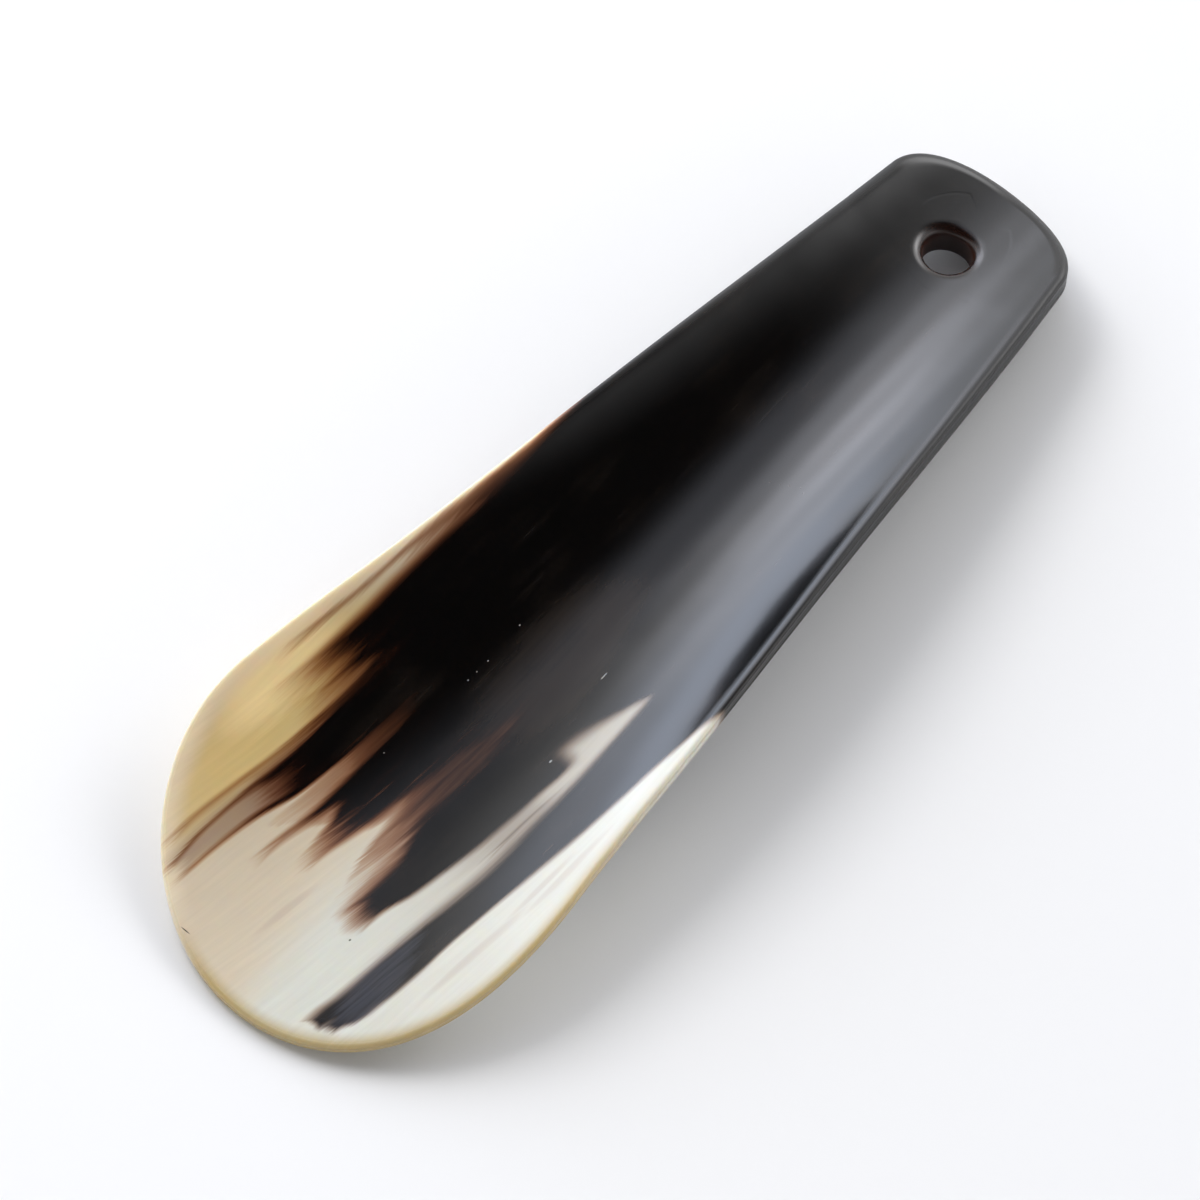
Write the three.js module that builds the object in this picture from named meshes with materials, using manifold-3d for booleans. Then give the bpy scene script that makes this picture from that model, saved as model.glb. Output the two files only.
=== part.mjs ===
// A horn shoehorn: one plate of horn, cut to outline, heat-formed into a trough and drilled.
// Millimetres, +Z up. It lies on its back with the trough open upwards, resting on the blade's
// tip and the handle's end: -X is the blade's tip, +X the handle's end.
// The origin is under the middle of the bounding box, on the surface that the back rests on.

import * as THREE from 'three';
import { mergeVertices } from 'three/addons/utils/BufferGeometryUtils.js';
import Module from 'manifold-3d';

// ---- Driving dimensions ----

const LENGTH = 140;

// Cross-sections, each at a distance x from the blade's tip:
//   half      half width that the sides run to, before the two ends are rounded off
//   floor     height of the middle of the plate on the trough's centre line
//   depth     how far the rims rise above that centre line
//   thick     thickness of the plate
//   sideways  drift of the centre line, the horn's own slight bend
const SECTIONS = [
  { x: 0, half: 26.5, floor: 0.9, depth: 3.5, thick: 1.3, sideways: 0.0 },
  { x: 24, half: 24.6, floor: 1.8, depth: 6.8, thick: 1.7, sideways: 1.9 },
  { x: 50, half: 21.5, floor: 3.8, depth: 8.0, thick: 2.3, sideways: 0.1 },
  { x: 80, half: 18.2, floor: 5.0, depth: 7.3, thick: 3.1, sideways: -0.9 },
  { x: 110, half: 15.3, floor: 4.7, depth: 4.8, thick: 4.0, sideways: -0.8 },
  { x: LENGTH, half: 12.2, floor: 2.3, depth: 3.2, thick: 4.4, sideways: 0.0 },
];

const TIP_ROUND = 30.5;    // length of the elliptical rounding of the blade's tip
const END_ROUND = 8.7;     // length of the elliptical rounding of the handle's end
const END_LEAN = 0.11;     // skew of the handle's end cut, X per Y
const END_LEAN_RUN = 17;   // length over which that skew builds up

const RIM_FLAT = 0.45;     // share of the thickness left as the upright edge of the rim
const RIM_ROUND = 0.42;    // run of the rim's rounding inwards, as a share of the thickness

const HOLE_FROM_TIP = 127;
const HOLE_ASIDE = 1.1;    // how far off the centre line the hole was drilled
const HOLE_RADIUS = 3;
const HOLE_FLARE = 1.3;    // how much wider the softened mouths of the hole are
const HOLE_FLARE_RUN = 1;  // depth of each softened mouth

const SPINE_FROM_TIP = 14; // where the mesh's spine starts and ends, inside the two roundings
const SPINE_FROM_END = 5;

const COLOUR_HORN = 0x2a201b;

// ---- Mesh fineness ----

const STATIONS = 52;       // rows from tip to end
const RIM_STEPS = [0, 0.12, 0.4, 1];
const FIELD_STEPS = 7;     // steps from the rim's rounding to the spine
const HOLE_SIDES = 32;
const STATION_EASE = 0.8;  // 0 spaces the rows evenly, 1 draws them closest together at the ends
const MERGE_WITHIN = 1e-4; // points nearer than this are one vertex
const BORE_BEYOND = 4;     // how far the solid that cuts the hole sticks out of the plate

// ---- Shape ----

/** A natural cubic spline through one dimension of the sections, as a function of x. */
function sectionSpline(key) {
  const last = SECTIONS.length - 1;
  const run = (i) => SECTIONS[i + 1].x - SECTIONS[i].x;
  const slope = (i) => (SECTIONS[i + 1][key] - SECTIONS[i][key]) / run(i);
  const bend = new Array(last + 1).fill(0);  // second derivative at each section
  const carry = new Array(last + 1).fill(0);
  for (let i = 1; i < last; i += 1) {
    const pivot = 2 * (run(i - 1) + run(i)) - run(i - 1) * carry[i - 1];
    carry[i] = run(i) / pivot;
    bend[i] = (6 * (slope(i) - slope(i - 1)) - run(i - 1) * bend[i - 1]) / pivot;
  }
  for (let i = last - 1; i > 0; i -= 1) bend[i] -= carry[i] * bend[i + 1];
  return (x) => {
    let i = 0;
    while (i < last - 1 && x > SECTIONS[i + 1].x) i += 1;
    const t = x - SECTIONS[i].x;
    const start = slope(i) - (run(i) * (2 * bend[i] + bend[i + 1])) / 6;
    const change = (bend[i + 1] - bend[i]) / run(i);
    return SECTIONS[i][key] + t * (start + t * (bend[i] / 2 + (t * change) / 6));
  };
}

const section = {
  half: sectionSpline('half'),
  floor: sectionSpline('floor'),
  depth: sectionSpline('depth'),
  thick: sectionSpline('thick'),
  sideways: sectionSpline('sideways'),
};

/** Half width of the outline at x, with both ends rounded off as ellipses. */
function halfWidth(x) {
  const intoTip = Math.max(0, 1 - x / TIP_ROUND);
  const intoEnd = Math.max(0, 1 - (LENGTH - x) / END_ROUND);
  return section.half(x) * Math.sqrt(1 - intoTip ** 2) * Math.sqrt(1 - intoEnd ** 2);
}

/** Height of the middle of the plate, and half its thickness measured upright. */
function plateAt(x, y) {
  const depth = section.depth(x);
  const across = y / section.half(x);
  const slope = (2 * depth * across) / section.half(x);
  return {
    middle: section.floor(x) + depth * across ** 2,
    halfThick: (section.thick(x) / 2) * Math.hypot(1, slope),
  };
}

/** Share of the half thickness that is left at a distance in from the outline. */
function rimShare(inset, thickness) {
  const t = Math.min(1, inset / (RIM_ROUND * thickness));
  return RIM_FLAT + (1 - RIM_FLAT) * Math.sqrt(1 - (1 - t) ** 2);
}

/** Carries a point of the straight, symmetrical blank to its place on the real one. */
function placed(x, y, z) {
  const skew = END_LEAN * Math.max(0, 1 - (LENGTH - x) / END_LEAN_RUN);
  return new THREE.Vector3(x + skew * y, y + section.sideways(x), z);
}

/** Stations from tip to end, closer together where the two ends are rounded off. */
function stationAt(row) {
  const even = row / STATIONS;
  const eased = (1 - Math.cos(Math.PI * even)) / 2;
  return LENGTH * THREE.MathUtils.lerp(even, eased, STATION_EASE);
}

/** One row of the plate's grid, from the rim (first) to the spine (last), on one side. */
function rowPoints(x, side, face) {
  const rim = new THREE.Vector2(x, side * halfWidth(x));
  const spineX = SPINE_FROM_TIP + (x / LENGTH) * (LENGTH - SPINE_FROM_TIP - SPINE_FROM_END);
  const spine = new THREE.Vector2(spineX, 0);
  const reach = rim.distanceTo(spine);
  const thickness = section.thick(x);
  const insets = RIM_STEPS.map((share) => share * RIM_ROUND * thickness);
  const rounded = insets[insets.length - 1];
  for (let k = 1; k <= FIELD_STEPS; k += 1) {
    insets.push(rounded + ((reach - rounded) * k) / FIELD_STEPS);
  }
  return insets.map((inset) => {
    const p = rim.clone().lerp(spine, inset / reach);
    const { middle, halfThick } = plateAt(p.x, p.y);
    return placed(p.x, p.y, middle + face * halfThick * rimShare(inset, thickness));
  });
}

/** Adds the two triangles between neighbouring points of two rows. */
function addQuad(indices, a, b, c, d, flipped) {
  if (flipped) {
    indices.push(a, c, b, a, d, c);
  } else {
    indices.push(a, b, c, a, c, d);
  }
}

/** The undrilled plate as one closed geometry with shared vertices. */
function plateGeometry() {
  const columns = RIM_STEPS.length + FIELD_STEPS;
  const positions = [];
  const indices = [];
  const start = {};
  for (const side of [-1, 1]) {
    for (const face of [-1, 1]) {
      start[[side, face]] = positions.length / 3;
      for (let row = 0; row <= STATIONS; row += 1) {
        rowPoints(stationAt(row), side, face).forEach((p) => positions.push(p.x, p.y, p.z));
      }
    }
  }
  for (const side of [-1, 1]) {
    for (let row = 0; row < STATIONS; row += 1) {
      for (const face of [-1, 1]) {
        for (let k = 0; k < columns - 1; k += 1) {
          const a = start[[side, face]] + row * columns + k;
          addQuad(indices, a, a + columns, a + columns + 1, a + 1, side * face > 0);
        }
      }
      const top = start[[side, 1]] + row * columns;
      const under = start[[side, -1]] + row * columns;
      addQuad(indices, top, under, under + columns, top + columns, side > 0);
    }
  }
  const loose = new THREE.BufferGeometry();
  loose.setAttribute('position', new THREE.Float32BufferAttribute(positions, 3));
  loose.setIndex(indices);
  return withoutSlivers(mergeVertices(loose, MERGE_WITHIN));
}

/** Drops the triangles that fold to a line where the two sides meet. */
function withoutSlivers(geometry) {
  const index = geometry.getIndex();
  const kept = [];
  for (let i = 0; i < index.count; i += 3) {
    const [a, b, c] = [index.getX(i), index.getX(i + 1), index.getX(i + 2)];
    if (a !== b && b !== c && c !== a) kept.push(a, b, c);
  }
  geometry.setIndex(kept);
  return geometry;
}

/** Bore with flared mouths, standing square to the plate at the hanging hole. */
function holeGeometry() {
  const { middle } = plateAt(HOLE_FROM_TIP, HOLE_ASIDE);
  const halfThick = section.thick(HOLE_FROM_TIP) / 2;
  const flareEnd = HOLE_RADIUS + HOLE_FLARE * (1 + BORE_BEYOND / HOLE_FLARE_RUN);
  const profile = [
    new THREE.Vector2(0, -halfThick - BORE_BEYOND),
    new THREE.Vector2(flareEnd, -halfThick - BORE_BEYOND),
    new THREE.Vector2(HOLE_RADIUS, -halfThick + HOLE_FLARE_RUN),
    new THREE.Vector2(HOLE_RADIUS, halfThick - HOLE_FLARE_RUN),
    new THREE.Vector2(flareEnd, halfThick + BORE_BEYOND),
    new THREE.Vector2(0, halfThick + BORE_BEYOND),
  ];
  const bore = new THREE.LatheGeometry(profile, HOLE_SIDES);
  const step = 1;
  const ahead = section.floor(HOLE_FROM_TIP + step);
  const behind = section.floor(HOLE_FROM_TIP - step);
  const tilt = Math.atan((ahead - behind) / (2 * step));
  bore.rotateX(Math.PI / 2);
  bore.rotateY(-tilt);
  const centre = placed(HOLE_FROM_TIP, HOLE_ASIDE, middle);
  bore.translate(centre.x, centre.y, centre.z);
  bore.deleteAttribute('normal');
  bore.deleteAttribute('uv');
  return withoutSlivers(mergeVertices(bore, MERGE_WITHIN));
}

// ---- Solids ----

const wasm = await Module();
wasm.setup();

function solidFrom(geometry) {
  return new wasm.Manifold(
    new wasm.Mesh({
      numProp: 3,
      vertProperties: new Float32Array(geometry.getAttribute('position').array),
      triVerts: new Uint32Array(geometry.getIndex().array),
    })
  );
}

function geometryFrom(solid) {
  const mesh = solid.getMesh();
  const geometry = new THREE.BufferGeometry();
  geometry.setAttribute('position', new THREE.BufferAttribute(mesh.vertProperties, 3));
  geometry.setIndex(new THREE.BufferAttribute(mesh.triVerts, 1));
  geometry.computeVertexNormals();
  return geometry;
}

/** The drilled plate, moved so that the origin is under the middle of its box. */
function shoehornGeometry() {
  const drilled = solidFrom(plateGeometry()).subtract(solidFrom(holeGeometry()));
  const geometry = geometryFrom(drilled);
  geometry.computeBoundingBox();
  const { min, max } = geometry.boundingBox;
  geometry.translate(-(min.x + max.x) / 2, -(min.y + max.y) / 2, -min.z);
  return geometry;
}

const horn = new THREE.MeshStandardMaterial({ color: COLOUR_HORN, roughness: 0.22, metalness: 0 });

const shoehorn = new THREE.Group();
shoehorn.name = 'shoehorn';

const body = new THREE.Mesh(shoehornGeometry(), horn);
body.name = 'shoehorn_body';
shoehorn.add(body);

export default shoehorn;
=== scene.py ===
"""Looks of a polished ox-horn shoehorn: one fine mesh of the horn plate, its grain and streaks,
and a pale table in soft window light.

The horn is worked out as a straight blank, in millimetres: x runs from the blade's tip to the
handle's end, y across from the near rim to the far rim. The finished mesh is in metres, in the
frame of the CAD part, whose node it stands for.
"""

import math

import bpy
import numpy as np
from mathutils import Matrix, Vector


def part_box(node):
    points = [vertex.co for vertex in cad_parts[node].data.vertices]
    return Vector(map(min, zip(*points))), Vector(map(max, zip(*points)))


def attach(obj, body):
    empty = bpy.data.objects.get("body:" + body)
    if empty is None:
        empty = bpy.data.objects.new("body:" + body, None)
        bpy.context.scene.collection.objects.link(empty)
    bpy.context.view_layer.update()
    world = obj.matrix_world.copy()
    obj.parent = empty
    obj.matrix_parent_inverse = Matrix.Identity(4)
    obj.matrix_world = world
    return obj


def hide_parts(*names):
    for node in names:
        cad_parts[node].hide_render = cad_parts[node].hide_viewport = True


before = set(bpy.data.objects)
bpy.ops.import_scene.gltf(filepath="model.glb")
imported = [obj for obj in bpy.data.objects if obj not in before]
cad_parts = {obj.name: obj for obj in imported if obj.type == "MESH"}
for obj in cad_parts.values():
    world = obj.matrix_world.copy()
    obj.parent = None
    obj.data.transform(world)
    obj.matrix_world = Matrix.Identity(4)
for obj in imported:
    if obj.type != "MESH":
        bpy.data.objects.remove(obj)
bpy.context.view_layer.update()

NODE = "shoehorn_body"
MM = 0.001

# ---- Shape of the horn plate, as the CAD part has it ----

LENGTH = 140.0
SECTION_X = (0.0, 24.0, 50.0, 80.0, 110.0, LENGTH)
HALF = (26.5, 24.6, 21.5, 18.2, 15.3, 12.2)       # half width before the ends are rounded
FLOOR = (0.9, 1.8, 3.8, 5.0, 4.7, 2.3)            # height of the plate's middle on the centre line
DEPTH = (3.5, 6.8, 8.0, 7.3, 4.8, 3.2)            # rise of the rims above that line
THICK = (1.3, 1.7, 2.3, 3.1, 4.0, 4.4)            # square to the surface, as seen along x
SIDEWAYS = (0.0, 1.9, 0.1, -0.9, -0.8, 0.0)       # drift of the centre line

TIP_ROUND = 30.5        # length of the blade's elliptic end
END_ROUND = 8.7         # and of the handle's
END_LEAN = 0.11         # slant of the handle's end, as x per y
END_LEAN_RUN = 17.0     # length over which the slant comes in
RIM_FLAT = 0.45         # share of the thickness that stands upright at the rim
RIM_ROUND = 0.42        # thicknesses in from the rim at which the plate is full
SPINE_FROM_TIP = 14.0   # the halves of the grid's rows meet on a spine, from this far off the tip
SPINE_FROM_END = 5.0    # to this far off the end

HOLE_X = 127.0
HOLE_Y = 1.1
HOLE_RADIUS = 3.0
HOLE_FLARE = 1.3        # how much the radius grows at each mouth
HOLE_FLARE_RUN = 1.0    # how deep the flare goes

# ---- Fineness of the mesh ----

ROWS = 250
ROW_EASE = 0.8
RIM_STEPS = 8
FIELD_STEPS = 34
WALL_STEPS = 3
PATCH_REACH = 6.2       # half side of the square of grid that the hole's rings replace
PATCH_RINGS = 9
MOUTH_RINGS = 8
BORE_RINGS = 5
SLOPE_STEP = 1.0        # the plate's slope at the hole is taken over this much each way
BLANK_ROUNDS = 6        # rounds that settle blank_of to well under a micron
NO_RIM = 10.0           # inset given to the points round the hole, clear of the rim's wear


def natural_spline(values):
    """A natural cubic spline through one dimension of the sections, as a function of x."""
    x = np.array(SECTION_X)
    v = np.array(values, float)
    run = np.diff(x)
    slope = np.diff(v) / run
    system = np.eye(len(x))
    right = np.zeros(len(x))
    for i in range(1, len(x) - 1):
        system[i, i - 1 : i + 2] = run[i - 1], 2 * (run[i - 1] + run[i]), run[i]
        right[i] = 6 * (slope[i] - slope[i - 1])
    bend = np.linalg.solve(system, right)

    def at(where):
        where = np.asarray(where, float)
        i = np.clip(np.searchsorted(x, where) - 1, 0, len(run) - 1)
        t = where - x[i]
        start = slope[i] - run[i] * (2 * bend[i] + bend[i + 1]) / 6
        change = (bend[i + 1] - bend[i]) / run[i]
        return v[i] + t * (start + t * (bend[i] / 2 + t * change / 6))

    return at


half_at = natural_spline(HALF)
floor_at = natural_spline(FLOOR)
depth_at = natural_spline(DEPTH)
thick_at = natural_spline(THICK)
sideways_at = natural_spline(SIDEWAYS)


def half_width(x):
    """Half width of the outline, with both ends rounded off as ellipses."""
    into_tip = np.maximum(0, 1 - x / TIP_ROUND)
    into_end = np.maximum(0, 1 - (LENGTH - x) / END_ROUND)
    return half_at(x) * np.sqrt(1 - into_tip**2) * np.sqrt(1 - into_end**2)


def rim_share(inset, thickness):
    """Share of the half thickness that is left at a distance in from the outline."""
    t = np.minimum(1, inset / (RIM_ROUND * thickness))
    return RIM_FLAT + (1 - RIM_FLAT) * np.sqrt(1 - (1 - t) ** 2)


def height(x, y, face, share=1.0):
    """Height of the plate's top (face 1) or underside (face -1) over a point of the blank."""
    across = y / half_at(x)
    slope = 2 * depth_at(x) * across / half_at(x)
    half_thick = thick_at(x) / 2 * np.hypot(1, slope)
    return floor_at(x) + depth_at(x) * across**2 + face * half_thick * share


def placed(x, y):
    """Carries a point of the straight blank to its place on the real, slightly bent horn."""
    skew = END_LEAN * np.maximum(0, 1 - (LENGTH - x) / END_LEAN_RUN)
    return x + skew * y, y + sideways_at(x)


def blank_of(px, py):
    """The blank's point that is carried to (px, py)."""
    x, y = px, py
    for _ in range(BLANK_ROUNDS):
        y = py - sideways_at(x)
        x = px - END_LEAN * np.maximum(0, 1 - (LENGTH - x) / END_LEAN_RUN) * y
    return x, y


# ---- Mesh ----


class Sheet:
    """Points of the plate with what the material needs to know about each of them."""

    def __init__(self):
        self.points = []
        self.blanks = []
        self.bores = []
        self.faces = []
        self.count = 0

    def add(self, x, y, z, blank_x, blank_y, inset, bore):
        """Adds points given as arrays of one shape, and returns their indices in that shape."""
        shape = np.broadcast(x, y, z, inset, bore).shape
        columns = [np.broadcast_to(a, shape).ravel() for a in (x, y, z)]
        self.points.append(np.column_stack(columns))
        columns = [np.broadcast_to(a, shape).ravel() for a in (blank_x, blank_y, inset)]
        self.blanks.append(np.column_stack(columns))
        self.bores.append(np.broadcast_to(bore, shape).ravel())
        first = self.count
        self.count += int(np.prod(shape))
        return np.arange(first, self.count).reshape(shape)

    def quads(self, grid, flipped):
        """Adds the quads between neighbouring rows and columns of a grid of indices."""
        a, b = grid[:-1, :-1], grid[1:, :-1]
        c, d = grid[1:, 1:], grid[:-1, 1:]
        corners = (a, d, c, b) if flipped else (a, b, c, d)
        self.faces.append(np.stack(corners, -1).reshape(-1, 4))


def outline_grid():
    """Blank points in rows from the near rim over the spine to the far rim, with their insets."""
    even = np.linspace(0, 1, ROWS + 1)
    eased = (1 - np.cos(math.pi * even)) / 2
    x = LENGTH * (even + (eased - even) * ROW_EASE)
    spine = SPINE_FROM_TIP + x / LENGTH * (LENGTH - SPINE_FROM_TIP - SPINE_FROM_END)
    width = half_width(x)
    reach = np.hypot(x - spine, width)
    turn = np.linspace(0, math.pi / 2, RIM_STEPS + 1)
    rounded = RIM_ROUND * thick_at(x)
    rim_insets = rounded[:, None] * (1 - np.cos(turn))
    field = np.linspace(0, 1, FIELD_STEPS + 1)[1:]
    field_insets = rounded[:, None] + (reach - rounded)[:, None] * field
    insets = np.hstack([rim_insets, field_insets])
    share = insets / reach[:, None]
    grid_x = x[:, None] + (spine - x)[:, None] * share
    grid_y = width[:, None] * (1 - share)
    thickness = thick_at(x)[:, None] * np.ones_like(insets)
    near = (grid_x, -grid_y, insets, thickness)
    far = (grid_x, grid_y, insets, thickness)
    return [np.hstack([n, f[:, -2::-1]]) for n, f in zip(near, far)]


def fold_ends(grid):
    """Joins the two halves of the first and last rows, which lie on each other."""
    grid = grid.copy()
    middle = grid.shape[1] // 2
    for row in (0, -1):
        grid[row, middle + 1 :] = grid[row, :middle][::-1]
    return grid


def hole_block(x, y):
    """Rows and columns of the grid that bound the square which the hole's rings replace."""
    middle = x.shape[1] // 2
    first = int(np.argmin(abs(x[:, middle] - (HOLE_X - PATCH_REACH))))
    last = int(np.argmin(abs(x[:, middle] - (HOLE_X + PATCH_REACH))))
    row = (first + last) // 2
    left = int(np.argmin(abs(y[row] - (HOLE_Y - PATCH_REACH))))
    right = int(np.argmin(abs(y[row] - (HOLE_Y + PATCH_REACH))))
    return first, last, left, right


def loop_of(grid, block):
    """Indices round the edge of a block of the grid, in order, without a repeat."""
    first, last, left, right = block
    down = grid[first:last, left]
    across = grid[last, left:right]
    up = grid[last:first:-1, right]
    back = grid[first, right:left:-1]
    return np.concatenate([down, across, up, back])


def closed(rings):
    """Repeats the first point of each ring at its end."""
    return np.hstack([rings, rings[:, :1]])


def add_ring(sheet, x, y, face, sunk, bore):
    """Adds one ring of points, sunk below the face that they belong to."""
    blank_x, blank_y = blank_of(x, y)
    z = height(blank_x, blank_y, face) - face * sunk
    return sheet.add(x, y, z, blank_x, blank_y, NO_RIM, bore)


def face_rings(sheet, loop, face, centre, shift):
    """Rings on one face, from the square's edge to the hole's mouth and down its flare."""
    centre_x, centre_y = centre
    points = np.concatenate(sheet.points)[loop]
    angle = np.arctan2(points[:, 1] - centre_y, points[:, 0] - centre_x - shift)
    mouth_x = centre_x + shift + (HOLE_RADIUS + HOLE_FLARE) * np.cos(angle)
    mouth_y = centre_y + (HOLE_RADIUS + HOLE_FLARE) * np.sin(angle)
    rings = [loop]
    for share in np.linspace(0, 1, PATCH_RINGS + 1)[1:]:
        x = points[:, 0] + (mouth_x - points[:, 0]) * share
        y = points[:, 1] + (mouth_y - points[:, 1]) * share
        rings.append(add_ring(sheet, x, y, face, 0.0, 0.0))
    for turn in np.linspace(0, math.pi / 2, MOUTH_RINGS + 1)[1:]:
        radius = HOLE_RADIUS + HOLE_FLARE * (1 - math.sin(turn))
        sunk = HOLE_FLARE_RUN * (1 - math.cos(turn))
        x = centre_x + shift * (1 - sunk / 2) + radius * np.cos(angle)
        y = centre_y + radius * np.sin(angle)
        rings.append(add_ring(sheet, x, y, face, sunk, turn / (math.pi / 2)))
    return rings


def add_bore_wall(sheet, inner):
    """The wall of the bore, between the last rings of the two faces."""
    points = np.concatenate(sheet.points)
    top, under = (points[inner[face]] for face in (1, -1))
    rings = [inner[1]]
    for share in np.linspace(0, 1, BORE_RINGS + 1)[1:-1]:
        p = top + (under - top) * share
        blank_x, blank_y = blank_of(p[:, 0], p[:, 1])
        rings.append(sheet.add(p[:, 0], p[:, 1], p[:, 2], blank_x, blank_y, NO_RIM, 1.0))
    rings.append(inner[-1])
    sheet.quads(closed(np.array(rings)), True)


def drill(sheet, grids, block):
    """Fills the square round the hole on both faces, and joins them by a bore square to the plate."""
    fall = (floor_at(HOLE_X + SLOPE_STEP) - floor_at(HOLE_X - SLOPE_STEP)) / (2 * SLOPE_STEP)
    centre = placed(np.array(HOLE_X), np.array(HOLE_Y))
    middle = float(height(HOLE_X, HOLE_Y, 0))
    inner = {}
    for face, grid in grids.items():
        shift = -fall * (float(height(HOLE_X, HOLE_Y, face)) - middle)
        rings = face_rings(sheet, loop_of(grid, block), face, centre, shift)
        sheet.quads(closed(np.array(rings)), face > 0)
        inner[face] = rings[-1]
    add_bore_wall(sheet, inner)


def build_sheet():
    """The whole drilled plate as points and quads, in millimetres."""
    sheet = Sheet()
    x, y, inset, thickness = outline_grid()
    px, py = placed(x, y)
    share = rim_share(inset, thickness)
    grids = {}
    for face in (1, -1):
        z = height(x, y, face, share)
        grids[face] = fold_ends(sheet.add(px, py, z, x, y, inset, 0.0))
    block = hole_block(x, y)
    first, last, left, right = block
    for face, grid in grids.items():
        sheet.quads(grid[: first + 1], face < 0)
        sheet.quads(grid[last:], face < 0)
        sheet.quads(grid[first : last + 1, : left + 1], face < 0)
        sheet.quads(grid[first : last + 1, right:], face < 0)
    add_rim_wall(sheet, grids)
    drill(sheet, grids, block)
    return sheet


def add_rim_wall(sheet, grids):
    """The upright edge of the rim, all the way round the outline."""
    loops = {}
    for face, grid in grids.items():
        loops[face] = np.concatenate([grid[:, 0], grid[-2:0:-1, -1]])
    points = np.concatenate(sheet.points)
    blanks = np.concatenate(sheet.blanks)[loops[1]]
    top, under = points[loops[1]], points[loops[-1]]
    rings = [loops[1]]
    for share in np.linspace(0, 1, WALL_STEPS + 1)[1:-1]:
        p = top + (under - top) * share
        rings.append(sheet.add(p[:, 0], p[:, 1], p[:, 2], blanks[:, 0], blanks[:, 1], 0.0, 0.0))
    rings.append(loops[-1])
    sheet.quads(closed(np.array(rings)), True)


def fitted(points):
    """Moves the blank's millimetres into the box of the CAD node, in metres."""
    low, high = (np.array(corner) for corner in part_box(NODE))
    own_low, own_high = points.min(0), points.max(0)
    return low + (points - own_low) / (own_high - own_low) * (high - low)


def horn_object():
    """The mesh object of the horn, with its blank coordinates and bore mask as attributes."""
    sheet = build_sheet()
    faces = np.concatenate(sheet.faces)
    used, packed = np.unique(faces, return_inverse=True)
    faces = packed.reshape(faces.shape)
    points = fitted(np.concatenate(sheet.points)[used])
    mesh = bpy.data.meshes.new("horn_plate")
    mesh.from_pydata(points.tolist(), [], faces.tolist())
    blank = mesh.attributes.new("blank", "FLOAT_VECTOR", "POINT")
    blank.data.foreach_set("vector", np.concatenate(sheet.blanks)[used].astype(np.float32).ravel())
    bore = mesh.attributes.new("bore", "FLOAT", "POINT")
    bore.data.foreach_set("value", np.concatenate(sheet.bores)[used].astype(np.float32))
    mesh.polygons.foreach_set("use_smooth", [True] * len(mesh.polygons))
    mesh.update()
    horn = bpy.data.objects.new("horn_plate", mesh)
    bpy.context.scene.collection.objects.link(horn)
    return horn


# ---- Node helpers ----


def connect(tree, value, socket):
    """Feeds a socket from another socket or with a plain value."""
    if isinstance(value, bpy.types.NodeSocket):
        tree.links.new(value, socket)
    else:
        socket.default_value = value


def calc(tree, operation, *values):
    """One maths node."""
    node = tree.nodes.new("ShaderNodeMath")
    node.operation = operation
    for value, socket in zip(values, node.inputs):
        connect(tree, value, socket)
    return node.outputs[0]


def ramp(tree, value, low, high, to_low=0.0, to_high=1.0):
    """A smooth step from to_low to to_high as value goes from low to high."""
    node = tree.nodes.new("ShaderNodeMapRange")
    node.interpolation_type = "SMOOTHSTEP"
    for item, socket in zip((value, low, high, to_low, to_high), node.inputs):
        connect(tree, item, socket)
    return node.outputs["Result"]


def blended(tree, factor, a, b, mode="MIX"):
    """A colour mix."""
    node = tree.nodes.new("ShaderNodeMix")
    node.data_type = "RGBA"
    node.blend_type = mode
    connect(tree, factor, node.inputs["Factor"])
    for value, name in ((a, "A"), (b, "B")):
        socket = next(s for s in node.inputs if s.name == name and s.type == "RGBA")
        connect(tree, value if isinstance(value, bpy.types.NodeSocket) else (*value, 1.0), socket)
    return next(s for s in node.outputs if s.type == "RGBA")


def vector(tree, x, y, z=0.0):
    """One vector from its three parts."""
    node = tree.nodes.new("ShaderNodeCombineXYZ")
    for value, socket in zip((x, y, z), node.inputs):
        connect(tree, value, socket)
    return node.outputs[0]


def noise(tree, where, scale=1.0, detail=2.0, roughness=0.5):
    """Noise centred on nought, about -0.5 to 0.5."""
    node = tree.nodes.new("ShaderNodeTexNoise")
    connect(tree, where, node.inputs["Vector"])
    node.inputs["Scale"].default_value = scale
    node.inputs["Detail"].default_value = detail
    node.inputs["Roughness"].default_value = roughness
    return calc(tree, "SUBTRACT", node.outputs["Fac"], 0.5)


def fibre_noise(tree, x, fibre, shortened, scale, detail, roughness):
    """Noise drawn out along the fibres, by shortening x."""
    where = vector(tree, calc(tree, "MULTIPLY", x, shortened), fibre)
    return noise(tree, where, scale, detail, roughness)


def spot(tree, x, y, centre, reach):
    """A soft round patch: 1 at its centre, 0 past its reach along x and y."""
    dx = calc(tree, "DIVIDE", calc(tree, "SUBTRACT", x, centre[0]), reach[0])
    dy = calc(tree, "DIVIDE", calc(tree, "SUBTRACT", y, centre[1]), reach[1])
    away = calc(tree, "ADD", calc(tree, "MULTIPLY", dx, dx), calc(tree, "MULTIPLY", dy, dy))
    return ramp(tree, away, 0.0, 1.0, 1.0, 0.0)


SPAN_Y = 32.0    # the curves below hold y from -SPAN_Y to SPAN_Y


def smooth_curve(tree, share, points):
    """A smooth curve through points of a unit square, read at a share of its width."""
    node = tree.nodes.new("ShaderNodeFloatCurve")
    curve = node.mapping.curves[0]
    while len(curve.points) < len(points):
        curve.points.new(0.5, 0.5)
    for point, place in zip(curve.points, points):
        point.location = place
        point.handle_type = "AUTO_CLAMPED"
    node.mapping.update()
    tree.links.new(share, node.inputs["Value"])
    return node.outputs[0]


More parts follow.
